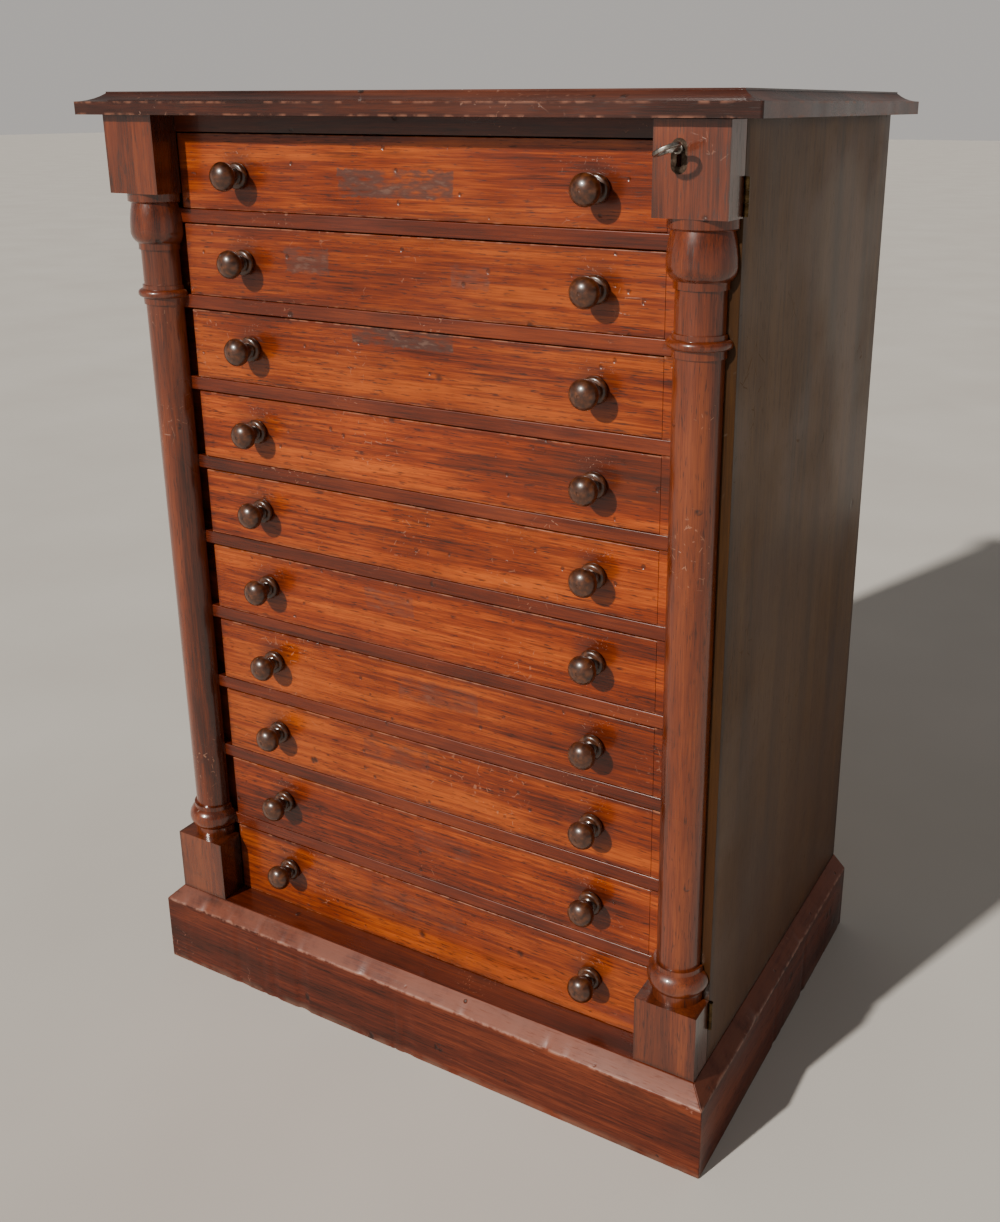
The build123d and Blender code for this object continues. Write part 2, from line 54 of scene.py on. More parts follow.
camera_yaw = radians(29.05)
camera_pitch = radians(-17.94)
camera_place = (0.56363, -0.90845, 0.80633)
sensor_width = 36.0
sun_bearing = radians(19)
sun_height = radians(30)
sun_strength = 4.6
sun_width = radians(2.0)
sun_colour = (1.0, 0.95, 0.87)
sky_colour = (1.0, 0.95, 0.90)
# how strong the surroundings are: at the horizon, and from a little above it upwards
sky_levels = ((0.08, 0.48), (0.22, 0.20))
floor_reach = 30.0

# ------------------------------------------------------------------ pieces (metres)
drawer_count = 10
knob_head = 0.0114
knob_head_half = 0.008
knob_head_start = 0.50
knob_reach = 0.0182
knob_neck = 0.0056
knob_rose = 0.0105
knob_rose_height = 0.0056
# the bead over the rose: out from the neck, and up from the rose
knob_bead = ((0.0014, 0.0002), (0.0010, 0.0008), (0.0011, 0.0013), (0.0002, 0.0019))
# the turner's mark in the tip: its radius, and how far it is sunk
knob_tip_radius = 0.0016
knob_tip = ((0.0015, 0.0001), (0.0013, 0.0004), (0.0007, 0.0005), (0.0002, 0.0006))
rose_steps = 12
head_steps = 22
knob_sides = 56
top_fascia = 0.010
plinth_arris = 0.066
ease_fine = 0.0004
ease_board = 0.0007
ease_rail = 0.0009
ease_plinth = 0.0009
ease_top = 0.0010

# ------------------------------------------------------------------ wear (metres)
# dents in an arris: how far apart, and how deep at most
bevel_dents = (0.013, 0.0020)
foot_dents = (0.016, 0.0022)
fascia_dents = (0.018, 0.0011)
# how far a dent reaches from its arris: along the outer face, and in from it
bevel_dent_reach = (0.0045, 0.006)
foot_dent_reach = (0.006, 0.004)
fascia_dent_reach = 0.0022
fascia_unevenness = 0.00012
plinth_step = 0.0026
plinth_levels = (0.058, 0.0625, 0.0715)
top_steps = (0.006, 0.009)
# the darker ring round a knob: its outer and inner radius
knob_halo = (0.026, 0.010)
# the scuffs above a knob: their middle, and where they end and begin to fade, sideways and upwards
scuff_rise = 0.0165
scuff_sideways = (0.019, 0.008)
scuff_upwards = (0.0065, 0.0025)


# ================================================================== shader wiring
class Wire:
    """A socket of a finish; arithmetic on it adds Math nodes."""

    def __init__(self, finish, socket):
        self.finish = finish
        self.socket = socket

    def maths(self, operation, first, second=0.0):
        return self.finish.node("ShaderNodeMath", {"operation": operation}, {0: first, 1: second})[0]

    def __add__(self, other):
        return self.maths("ADD", self, other)

    def __radd__(self, other):
        return self.maths("ADD", other, self)

    def __sub__(self, other):
        return self.maths("SUBTRACT", self, other)

    def __rsub__(self, other):
        return self.maths("SUBTRACT", other, self)

    def __mul__(self, other):
        return self.maths("MULTIPLY", self, other)

    def __rmul__(self, other):
        return self.maths("MULTIPLY", other, self)

    def __pow__(self, other):
        return self.maths("POWER", self, other)

    def __abs__(self):
        return self.maths("ABSOLUTE", self)

    def least(self, other):
        return self.maths("MINIMUM", self, other)

    def most(self, other):
        return self.maths("MAXIMUM", self, other)

    def rise(self, low, high):
        """0 below low, 1 above high and smooth between; the other way round if low is the larger."""
        made = self.finish.node("ShaderNodeMapRange", {"interpolation_type": "SMOOTHSTEP"},
                                {"Value": self, "From Min": low, "From Max": high})
        return made["Result"]

    def parts(self):
        made = self.finish.node("ShaderNodeSeparateXYZ", {}, {0: self})
        return made["X"], made["Y"], made["Z"]

    def moved(self, offset):
        return self.finish.node("ShaderNodeVectorMath", {"operation": "ADD"}, {0: self, 1: offset})[0]

    def stretched(self, scale):
        return self.finish.node("ShaderNodeVectorMath", {"operation": "MULTIPLY"}, {0: self, 1: scale})[0]

    def toned(self, other, amount, blend="MIX"):
        """This colour turned towards another one, by amount."""
        made = self.finish.node("ShaderNodeMix", {"data_type": "RGBA", "blend_type": blend},
                                {0: amount, 6: self, 7: other})
        return made[2]

    def shaded(self, amount):
        """This colour made darker or lighter by a factor."""
        return self.toned(amount, 1.0, "MULTIPLY")


class Made:
    """A node whose outputs are read as wires."""

    def __init__(self, finish, node):
        self.finish = finish
        self.node = node

    def __getitem__(self, key):
        return Wire(self.finish, self.node.outputs[key])


class Finish:
    """A material, built node by node."""

    def __init__(self, name):
        self.material = bpy.data.materials.new(name)
        self.material.use_nodes = True
        self.tree = self.material.node_tree
        self.tree.nodes.clear()
        self.place = self.node("ShaderNodeTexCoord", {}, {})["Object"]

    def node(self, kind, settings, sockets):
        node = self.tree.nodes.new(kind)
        for key, value in settings.items():
            if key == "stops":
                self.set_stops(node.color_ramp, value)
            else:
                setattr(node, key, value)
        for key, value in sockets.items():
            if isinstance(value, Wire):
                self.tree.links.new(value.socket, node.inputs[key])
            else:
                node.inputs[key].default_value = value
        return Made(self, node)

    def set_stops(self, ramp, stops):
        while len(ramp.elements) < len(stops):
            ramp.elements.new(1.0)
        for element, (position, colour) in zip(ramp.elements, stops):
            element.position = position
            element.color = (*colour, 1.0)

    def clouds(self, place, scale, detail=3.0, roughness=0.5, distortion=0.0):
        made = self.node("ShaderNodeTexNoise", {}, {"Vector": place, "Scale": scale, "Detail": detail,
                                                    "Roughness": roughness, "Distortion": distortion})
        return made[0]

    def cells(self, place, scale, feature="F1"):
        return self.node("ShaderNodeTexVoronoi", {"feature": feature}, {"Vector": place, "Scale": scale})

    def graded(self, amount, stops):
        return self.node("ShaderNodeValToRGB", {"stops": stops}, {0: amount})[0]

    def close(self, colour, rough, height=None, metal=0.0, coat=0.0, coat_rough=0.1, specular=0.5):
        sockets = {"Base Color": colour, "Roughness": rough, "Metallic": metal, "Coat Weight": coat,
                   "Coat Roughness": coat_rough, "Specular IOR Level": specular}
        if height is not None:
            bump = self.node("ShaderNodeBump", {}, {"Strength": 1.0, "Distance": 0.001, "Height": height})
            sockets["Normal"] = bump[0]
        surface = self.node("ShaderNodeBsdfPrincipled", {}, sockets)
        self.node("ShaderNodeOutputMaterial", {}, {"Surface": surface[0]})
        return self.material


# ================================================================== wood
GRAIN = {"x": 0, "y": 1, "z": 2}

# the layers of the grain: so many clouds to the metre along it and across it, their detail, distortion
BROAD_BANDS = (3.0, 34.0, 4.0, 0.5)
FINE_LINES = (9.0, 380.0, 3.0, 0.0)
FIBRES = (40.0, 1500.0, 2.0, 0.0)
PORE_TICKS = (80.0, 820.0, 2.0, 0.0)
RIPPLES = (46.0, 9.0, 2.0, 0.6)
DARK_VEINS = (20.0, 430.0, 3.0, 0.3)

# tones of the polished mahogany and of the bare woods: deep, body and pale
FRONT_TONES = ((0.050, 0.0052, 0.0003), (0.190, 0.023, 0.0006), (0.40, 0.074, 0.004))
RAIL_TONES = ((0.030, 0.0036, 0.0006), (0.105, 0.013, 0.0014), (0.20, 0.032, 0.004))
POST_TONES = ((0.040, 0.0060, 0.0010), (0.130, 0.021, 0.0028), (0.23, 0.048, 0.008))
TOP_TONES = ((0.018, 0.0034, 0.0013), (0.058, 0.011, 0.0038), (0.115, 0.026, 0.009))
SIDE_TONES = ((0.044, 0.016, 0.0018), (0.082, 0.032, 0.0042), (0.120, 0.052, 0.009))
PLINTH_TONES = ((0.022, 0.0036, 0.0012), (0.082, 0.012, 0.0034), (0.17, 0.034, 0.010))
PINE_TONES = ((0.20, 0.105, 0.045), (0.33, 0.19, 0.09), (0.46, 0.29, 0.15))
LINING_TONES = ((0.17, 0.07, 0.028), (0.30, 0.14, 0.06), (0.40, 0.21, 0.10))
KNOB_TONES = ((0.024, 0.0060, 0.0015), (0.062, 0.017, 0.0045), (0.115, 0.034, 0.009))

# colours of the marks on the wood
GRIME_AND_SHADE = (0.012, 0.005, 0.003)
BRUISE = (0.010, 0.004, 0.003)
STAIN = (0.020, 0.006, 0.004)
SCRATCH = (0.50, 0.24, 0.14)
FRONT_STAIN = (0.045, 0.010, 0.003)
FRONT_GRIME_AND_SHADE = (0.040, 0.007, 0.003)
FRONT_SPECK = (0.030, 0.008, 0.004)
FRONT_RUBBED = (0.42, 0.16, 0.08)
GLUE = (0.060, 0.018, 0.011)
TORN_PAPER = (0.16, 0.085, 0.060)
DARK_ROUND_KNOB = (0.050, 0.010, 0.005)
SCUFF = (0.45, 0.24, 0.17)
TOP_SCRATCH = (0.30, 0.14, 0.085)
TOP_RUBBED = (0.26, 0.095, 0.050)
SIDE_STAIN = (0.045, 0.018, 0.009)
SIDE_FOOT = (0.075, 0.024, 0.009)
SIDE_SCRATCH = (0.15, 0.10, 0.065)
PLINTH_STAIN = (0.012, 0.004, 0.003)
PLINTH_RUBBED_AND_SKYLIT = (0.185, 0.050, 0.024)
PLINTH_CHIP = (0.34, 0.16, 0.11)
PLINTH_FOOT = (0.16, 0.10, 0.07)
PLINTH_SCRATCH = (0.30, 0.13, 0.09)
BARE_STAIN = (0.12, 0.06, 0.03)

# how light each front is beside the others
FRONT_SHADE = (0.92, 0.84, 0.86, 1.12, 1.04, 1.02, 0.88, 0.86, 0.95, 0.84)

# glue and paper left on the fronts, per drawer: left, right, lower and upper edge (metres), strength
RESIDUE = {
    1: [(-0.056, 0.050, 0.739, 0.761, 0.85)],
    2: [(-0.113, -0.068, 0.679, 0.700, 0.65), (0.044, 0.078, 0.677, 0.695, 0.35)],
    3: [(-0.050, 0.046, 0.628, 0.645, 0.95)],
    6: [(-0.050, 0.000, 0.405, 0.425, 0.35)],
    7: [(-0.020, 0.060, 0.330, 0.352, 0.40)],
    8: [(-0.060, 0.010, 0.262, 0.284, 0.45)],
    9: [(-0.010, 0.050, 0.188, 0.208, 0.30)],
    10: [(-0.060, 0.040, 0.112, 0.136, 0.35)],
}


class Timber:
    """A board: its colour, roughness and height, ready for marks to be added."""

    def __init__(self, name, grain, seed, tones, streak=0.5, mottle=0.16, pore=0.35, fine=0.18,
                 contrast=1.6, vein=0.0, rough=(0.26, 0.42)):
        self.finish = Finish(name)
        self.place = self.finish.place
        self.grain = GRAIN[grain]
        shifted = self.place.moved((seed * 1.37, seed * 0.71, seed * 2.13))
        broad = self.run(shifted, *BROAD_BANDS)
        lines = self.run(shifted, *FINE_LINES)
        fibres = self.run(shifted, *FIBRES)
        ticks = self.run(shifted, *PORE_TICKS)
        ripple = self.run(shifted, *RIPPLES)
        blot = self.finish.clouds(shifted, 7.0, 3.0)
        tone = broad * (0.62 - 0.3 * streak) + lines * (0.5 * streak) + fibres * 0.18 + blot * 0.14
        tone = (tone - 0.52) * contrast + 0.5
        deep, body, pale = tones
        self.colour = self.finish.graded(tone, [(0.30, deep), (0.48, body), (0.66, pale)])
        self.pores = ticks.rise(0.57, 0.70) * pore
        self.shade(1.0 - self.pores * 0.75)
        self.shade(1.0 + (ripple - 0.5) * (2.0 * mottle))
        self.shade(1.0 + (fibres - 0.5) * fine)
        veins = self.run(shifted, *DARK_VEINS)
        patches = self.finish.clouds(shifted, 22.0, 2.0).rise(0.40, 0.62)
        self.shade(1.0 - veins.rise(0.56, 0.68) * patches * vein)
        smooth, dull = rough
        self.rough = smooth + (dull - smooth) * blot.rise(0.35, 0.7) + self.pores * 0.2
        self.height = lines * 0.03 + fibres * 0.02 - self.pores * 0.025

    def run(self, place, long_scale, cross_scale, detail, distortion):
        """Clouds drawn out along the grain: so many to the metre along it and across it."""
        scale = [cross_scale] * 3
        scale[self.grain] = long_scale
        return self.finish.clouds(place.stretched(scale), 1.0, detail, 0.55, distortion)

    def shade(self, amount):
        self.colour = self.colour.shaded(amount)

    def tint(self, mask, colour, amount):
        self.colour = self.colour.toned((*colour, 1.0), mask * amount)

    def dull(self, mask, amount):
        self.rough = self.rough + mask * amount

    def sink(self, mask, depth):
        self.height = self.height - mask * depth

    def edge_distance(self, low, high, axes):
        """How far a point is from the nearest of a box's faces across the given axes."""
        parts = self.place.parts()
        nearest = None
        for axis in axes:
            gap = (parts[axis] - low[axis]).least(high[axis] - parts[axis])
            nearest = gap if nearest is None else nearest.least(gap)
        return nearest

    # grime and painted shade: darker towards the faces of the box, where the part meets its neighbours
    def grime_and_shade_at_edges(self, low, high, axes, width, amount, colour=GRIME_AND_SHADE):
        uneven = self.finish.clouds(self.place, 60.0, 4.0)
        reach = self.edge_distance(low, high, axes) + (uneven - 0.5) * width
        self.tint(reach.rise(width, 0.0), colour, amount)

    def worn_front_edges(self, low, high, width, amount, colour=FRONT_RUBBED):
        """The long arrises of a front rubbed pale in places."""
        uneven = self.finish.clouds(self.place, 90.0, 5.0)
        forward = self.place.parts()[1] - low[1]
        reach = self.edge_distance(low, high, (2,)).most(forward)
        mask = reach.rise(width, 0.0) * uneven.rise(0.46, 0.60)
        self.tint(mask, colour, amount)
        self.dull(mask, 0.15)

    def scratches(self, amount, colour=SCRATCH, density=60.0, seed=0.0, where=None):
        """Short bits of fine lines at all angles that catch the light, in a few places."""
        place = self.place.moved((seed, seed * 0.6, seed * 1.9))
        lines = self.finish.cells(place, density, "DISTANCE_TO_EDGE")[0].rise(0.030, 0.012)
        bits = self.finish.clouds(place, density * 2.6, 1.0).rise(0.56, 0.62)
        if where is None:
            where = self.finish.clouds(place, 13.0, 2.0).rise(0.56, 0.66)
        marks = lines * bits * where
        self.tint(marks, colour, amount)
        self.dull(marks, 0.2)
        self.sink(marks, 0.10)

    def bruises(self, amount, density=34.0, seed=0.0, size=0.16, colour=BRUISE):
        """Small dark dents and specks."""
        place = self.place.moved((seed * 0.9, seed, seed * 0.4))
        cells = self.finish.cells(place, density)
        dots = cells["Distance"].rise(size, size * 0.45)
        some = self.finish.node("ShaderNodeSeparateColor", {}, {0: cells["Color"]})["Red"].rise(0.72, 0.78)
        marks = dots * some * self.finish.clouds(place, 160.0, 2.0).rise(0.35, 0.55)
        self.tint(marks, colour, amount)
        self.sink(marks, 0.5)

    def stains(self, amount, scale=11.0, seed=0.0, colour=STAIN, cut=(0.60, 0.74)):
        place = self.place.moved((seed, seed * 1.7, seed * 0.3))
        marks = self.finish.clouds(place.stretched((0.45, 1.0, 1.3)), scale, 5.0, 0.6).rise(*cut)
        self.tint(marks, colour, amount)

    def close(self, **coat):
        rough = self.rough.most(0.12).least(0.9)
        return self.finish.close(self.colour, rough, self.height, **coat)


def knob_places(number):
    """The middles of a drawer's two knobs, across and up."""
    low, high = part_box(f"drawer_{number:02d}_knobs")
    middle = (low[2] + high[2]) / 2
    return (low[0] + knob_head, middle), (high[0] - knob_head, middle)


def leave_residue(timber, patches):
    """Ragged patches of dark glue with bits of torn paper in them."""
    x, _, z = timber.place.parts()
    for left, right, bottom, top, strength in patches:
        uneven = (timber.finish.clouds(timber.place, 150.0, 4.0) - 0.5) * 0.008
        inside = (x - left).least(right - x).least(z - bottom).least(top - z) + uneven
        torn = timber.finish.clouds(timber.place.stretched((0.35, 1.0, 1.0)), 210.0, 4.0)
        mask = inside.rise(0.0, 0.0015) * torn.rise(0.30, 0.58)
        timber.tint(mask, GLUE, strength)
        timber.tint(mask * torn.rise(0.56, 0.70), TORN_PAPER, strength * 0.6)
        timber.dull(mask, 0.25)


def darken_and_scuff_round_knobs(timber, number):
    """A ring darker round each knob, and scuffs above each knob."""
    x, _, z = timber.place.parts()
    for knob_x, knob_z in knob_places(number):
        away = ((x - knob_x) ** 2.0 + (z - knob_z) ** 2.0) ** 0.5
        timber.tint(away.rise(*knob_halo), DARK_ROUND_KNOB, 0.55)
        above = abs(x - knob_x).rise(*scuff_sideways) * abs(z - knob_z - scuff_rise).rise(*scuff_upwards)
        timber.scratches(0.5, SCUFF, density=190.0, seed=number * 1.7 + knob_x, where=above)


def front_finish(number):
    low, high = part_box(f"drawer_{number:02d}_front")
    timber = Timber(f"front_mahogany_{number:02d}", "x", number * 3.1 + 0.4, FRONT_TONES, streak=0.55,
                    mottle=0.15, pore=0.95, contrast=1.7, vein=0.5)
    timber.shade(timber.finish.clouds(timber.place, 2.0) * 0.1 + FRONT_SHADE[number - 1])
    timber.stains(0.55, scale=9.0, seed=number * 2.3, colour=FRONT_STAIN, cut=(0.54, 0.74))
    leave_residue(timber, RESIDUE.get(number, []))
    # the darker band along the top, bottom and left end of the front is painted shade beside the rails and
    # the left pilaster, with grime; the right end runs on behind the locking pilaster
    wide_high = (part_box("right_fillets")[1][0], high[1], high[2])
    timber.grime_and_shade_at_edges(low, wide_high, (0, 2), width=0.006, amount=0.45, colour=FRONT_GRIME_AND_SHADE)
    darken_and_scuff_round_knobs(timber, number)
    timber.scratches(0.3, density=80.0, seed=number * 1.3)
    timber.bruises(0.8, density=30.0, seed=number * 0.9)
    timber.bruises(0.7, density=90.0, seed=number * 1.9, size=0.22, colour=FRONT_SPECK)
    timber.worn_front_edges(low, high, width=0.0014, amount=0.6)
    return timber.close(coat=0.25, coat_rough=0.16, specular=0.35)


def rail_finish(name, seed, shade=1.0):
    timber = Timber(name, "x", seed, RAIL_TONES, streak=0.4, mottle=0.08, vein=0.3)
    uneven = timber.finish.clouds(timber.place, 2.5) - 0.5
    # shade darkens the whole board; for the frieze and the left fillets this is painted shade
    timber.shade(shade + uneven * 0.2)
    timber.stains(0.5, scale=14.0, seed=seed)
    timber.bruises(0.7, density=40.0, seed=seed)
    timber.scratches(0.4, density=110.0, seed=seed)
    return timber.close(coat=0.3, coat_rough=0.14, specular=0.4)


def post_finish(name, node, seed):
    low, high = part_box(node)
    timber = Timber(name, "z", seed, POST_TONES, streak=0.35, mottle=0.05, pore=0.75, fine=0.24)
    timber.stains(0.35, scale=16.0, seed=seed)
    timber.bruises(0.8, density=44.0, seed=seed)
    timber.scratches(0.4, density=90.0, seed=seed)
    # grime and painted shade near the post's edges
    timber.grime_and_shade_at_edges(low, high, (0, 2), width=0.004, amount=0.5)
    z = timber.place.parts()[2]
    timber.shade(0.74 + z.rise(0.10, 0.19) * 0.26)
    return timber.close(coat=0.7, coat_rough=0.11, specular=0.45)


def top_finish():
    low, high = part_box("top_board")
    timber = Timber("top_mahogany", "x", 5.7, TOP_TONES, streak=0.4, mottle=0.10, pore=0.5, vein=0.3)
    timber.stains(0.5, scale=8.0, seed=3.3)
    timber.bruises(0.85, density=38.0, seed=2.0)
    timber.scratches(0.5, TOP_SCRATCH, density=80.0, seed=4.1)
    z = timber.place.parts()[2]
    rubbed = timber.finish.clouds(timber.place, 90.0, 5.0).rise(0.46, 0.62)
    on_rim = timber.edge_distance(low, high, (0, 1)).rise(0.0030, 0.0015)
    for level in (low[2], low[2] + top_fascia):
        arris = abs(z - level).rise(0.0022, 0.0004) * on_rim
        timber.tint(arris * rubbed, TOP_RUBBED, 0.6)
        timber.dull(arris * rubbed, 0.15)
    return timber.close(coat=0.3, coat_rough=0.16, specular=0.4)


def side_finish(name, node, seed):
    low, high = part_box(node)
    timber = Timber(name, "z", seed, SIDE_TONES, streak=0.35, mottle=0.03, pore=0.35, fine=0.12,
                    rough=(0.30, 0.46))
    z = timber.place.parts()[2]
    timber.stains(0.35, scale=5.0, seed=seed, colour=SIDE_STAIN, cut=(0.52, 0.72))
    timber.tint(z.rise(0.45, 0.08), SIDE_FOOT, 0.45)
    timber.scratches(0.35, SIDE_SCRATCH, density=45.0, seed=seed)
    timber.bruises(0.7, density=22.0, seed=seed)
    # grime and painted shade near the front, back, top and bottom edges of the side
    timber.grime_and_shade_at_edges(low, high, (1, 2), width=0.010, amount=0.55)
    return timber.close(coat=0.0, specular=0.18)


def plinth_finish(name, grain, seed):
    timber = Timber(name, grain, seed, PLINTH_TONES, streak=0.5, mottle=0.10, pore=0.6, fine=0.3,
                    rough=(0.30, 0.52))
    z = timber.place.parts()[2]
    timber.stains(0.6, scale=12.0, seed=seed, colour=PLINTH_STAIN, cut=(0.52, 0.70))
    # the bevel faces up and is painted paler over most of it: painted light from above, with rubbed wear
    on_bevel = z.rise(plinth_arris - 0.0005, plinth_arris + 0.0008)
    rubbed = timber.finish.clouds(timber.place, 34.0, 5.0, 0.65).rise(0.24, 0.60)
    timber.tint(on_bevel * rubbed, PLINTH_RUBBED_AND_SKYLIT, 0.75)
    on_arris = abs(z - plinth_arris).rise(0.0018, 0.0004)
    chips = timber.finish.clouds(timber.place, 110.0, 5.0, 0.6).rise(0.40, 0.58)
    timber.tint(on_arris * chips, PLINTH_CHIP, 0.6)
    on_foot = z.rise(0.010, 0.0)
    bare = timber.finish.clouds(timber.place, 50.0, 4.0).rise(0.35, 0.6)
    timber.tint(on_foot * bare, PLINTH_FOOT, 0.5)
    timber.bruises(0.9, density=28.0, seed=seed)
    timber.bruises(0.8, density=70.0, seed=seed + 2.0)
    timber.scratches(0.5, PLINTH_SCRATCH, density=70.0, seed=seed)
    return timber.close(coat=0.05, coat_rough=0.25, specular=0.25)


def bare_finish(name, grain, seed, tones):
    timber = Timber(name, grain, seed, tones, streak=0.6, mottle=0.04, pore=0.25, rough=(0.55, 0.75))
    timber.stains(0.25, scale=9.0, seed=seed, colour=BARE_STAIN)
    return timber.close()


def knob_finish():
    finish = Finish("knob_dark_wood")
    place = finish.place
    streaks = finish.clouds(place.stretched((260.0, 60.0, 260.0)), 1.0, 3.0)
    worn = finish.clouds(place, 70.0, 3.0)
    deep, body, pale = KNOB_TONES
    colour = finish.graded(streaks, [(0.32, deep), (0.52, body), (0.70, pale)])
    colour = colour.shaded(0.85 + worn * 0.3)
    rough = 0.24 + worn * 0.16
    return finish.close(colour, rough, streaks * 0.03 + worn * 0.05, coat=0.5, coat_rough=0.12)


def metal_finish(name, dark, body, pale, rough=(0.25, 0.5)):
    finish = Finish(name)
    patches = finish.clouds(finish.place, 160.0, 5.0, 0.6)
    spots = finish.clouds(finish.place, 900.0, 3.0)
    colour = finish.graded(patches * 0.75 + spots * 0.25, [(0.36, dark), (0.52, body), (0.68, pale)])
    smooth, dull = rough
    return finish.close(colour, smooth + (dull - smooth) * patches, spots * 0.06, metal=1.0)


# ================================================================== meshes
def body_of_node(node):
    for body, names in frame["record"]["behaviour"]["bodies"].items():
        if node in names:
            return body
    return None


def slot_of_node(node):
    for entry in frame["record"]["subparts"]:
        if entry["node"] == node:
            return entry["material_slot"]
    return None


def add_piece(name, mesh, node, material):
    """A new piece that stands for a CAD node, or for a part of one, and moves with its body."""
    piece = bpy.data.objects.new(name, mesh)
    bpy.context.scene.collection.objects.link(piece)
    piece.data.materials.clear()
    piece.data.materials.append(material)
    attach(piece, body_of_node(node))
    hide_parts(node)
    slot_of_node(node)
    return piece


def cleaned(node):
    """A copy of a CAD node's mesh with whole flat faces."""
    mesh = bmesh.new()
    mesh.from_mesh(frame["nodes"][node].data)
    bmesh.ops.remove_doubles(mesh, verts=mesh.verts, dist=1e-6)
    bmesh.ops.dissolve_limit(mesh, angle_limit=radians(0.5), verts=mesh.verts, edges=mesh.edges)
    return mesh


def is_outer(edge, low, high):
    """Whether an edge lies along an outer edge of the box."""
    count = 0
    for axis in range(3):
        for limit in (low[axis], high[axis]):
            if all(abs(vert.co[axis] - limit) < 1e-5 for vert in edge.verts):
                count += 1
    return count >= 2


def ease_edges(mesh, width, segments=2, chosen=None):
    sharp = [edge for edge in mesh.edges if len(edge.link_faces) == 2
             and edge.calc_face_angle(0) > radians(40) and (chosen is None or chosen(edge))]
    bmesh.ops.bevel(mesh, geom=sharp, offset=width, offset_type="OFFSET", segments=segments, profile=0.5,
                    affect="EDGES", clamp_overlap=True)


def cut(mesh, place, normal):
    """Cuts every face of the mesh by one plane."""
    bmesh.ops.bisect_plane(mesh, geom=mesh.verts[:] + mesh.edges[:] + mesh.faces[:], plane_co=place,
                           plane_no=normal, dist=1e-7)


def cut_across(mesh, axis, step, low, high):
    """Cuts every face of the mesh by planes at even steps."""
    normal = Vector([1.0 if index == axis else 0.0 for index in range(3)])
    count = int((high[axis] - low[axis]) / step)
    for index in range(1, count):
        cut(mesh, normal * (low[axis] + index * (high[axis] - low[axis]) / count), normal)


def to_mesh(built, name, smooth_angle=38):
    """The finished mesh, smooth over its soft edges and crisp over the rest."""
    for face in built.faces:
        face.smooth = True
    for edge in built.edges:
        edge.smooth = len(edge.link_faces) != 2 or edge.calc_face_angle(0) < radians(smooth_angle)
    mesh = bpy.data.meshes.new(name)
    built.to_mesh(mesh)
    built.free()
    return mesh


def add_board(node, built, material, smooth_angle=38):
    """A worked board in place of its CAD node; its big flat faces stay flat beside the rounded edges."""
    name = f"{node}_dressed"
    piece = add_piece(name, to_mesh(built, name, smooth_angle), node, material)
    modifier = piece.modifiers.new("flat_faces", "WEIGHTED_NORMAL")
    modifier.keep_sharp = True
    modifier.weight = 100


def eased_board(node, material, width=ease_fine, segments=2, outer_only=False):
    """A board with its arrises taken off."""
    built = cleaned(node)
    low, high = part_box(node)
    chosen = (lambda edge: is_outer(edge, low, high)) if outer_only else None
    ease_edges(built, width, segments, chosen)
    add_board(node, built, material)


def ring(built, centre, radius, height, count):
    """One ring of a turning that stands along -Y."""
    x, y, z = centre
    return [built.verts.new((x + radius * cos(2 * pi * step / count), y - height,
                             z + radius * sin(2 * pi * step / count))) for step in range(count)]


def turn(built, centre, profile, count):
    """A turning on a drawer front, from its outline of (radius, height) pairs."""
    rings = [ring(built, centre, radius, height, count) for radius, height in profile]
    for lower, upper in zip(rings, rings[1:]):
        for step in range(count):
            following = (step + 1) % count
            built.faces.new((lower[step], lower[following], upper[following], upper[step]))
    built.faces.new(list(reversed(rings[0])))
    built.faces.new(rings[-1])


def knob_profile():
    """The knob's outline, from under its rose to the turner's mark in the tip."""
    half = knob_rose_height / 2
    outline = []
    for index in range(rose_steps + 1):
        angle = -0.5 * pi + pi * index / rose_steps
        outline.append((knob_rose - half + half * cos(angle), half + half * sin(angle)))
    outline += [(knob_neck + out, knob_rose_height + up) for out, up in knob_bead]
    start = -0.5 * pi + knob_head_start
    for index in range(head_steps + 1):
        angle = start + (0.5 * pi - start) * index / head_steps
        radius = knob_head * cos(angle)
        if radius > knob_tip_radius:
            outline.append((radius, knob_reach + knob_head_half * sin(angle)))
    tip = knob_reach + knob_head_half
    outline += [(radius, tip - sunk) for radius, sunk in knob_tip]
    return outline


def dressed_knobs(number, material):
    node = f"drawer_{number:02d}_knobs"
    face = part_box(f"drawer_{number:02d}_front")[0][1]
    built = bmesh.new()
    for x, z in knob_places(number):
        turn(built, (x, face, z), knob_profile(), knob_sides)
    bmesh.ops.recalc_face_normals(built, faces=built.faces)
    add_piece(f"{node}_dressed", to_mesh(built, f"{node}_dressed"), node, material)


def dent_depth(along, seed, dents):
    """How deep an arris is dented at this place along it: nothing mostly, a dent now and then."""
    spacing, deepest = dents
    coarse = noise.noise(Vector((along / spacing, seed, 0.0)))
    fine = noise.noise(Vector((along / (spacing * 0.28), seed + 7.0, 0.0)))
    dent = max(0.0, coarse - 0.40) * 3.0 + max(0.0, fine - 0.46) * 1.4
    return deepest * min(dent, 1.0)


def nearness(distance, reach):
    """1 on the spot, falling to 0 at the given reach."""
    return max(0.0, 1.0 - distance / reach)


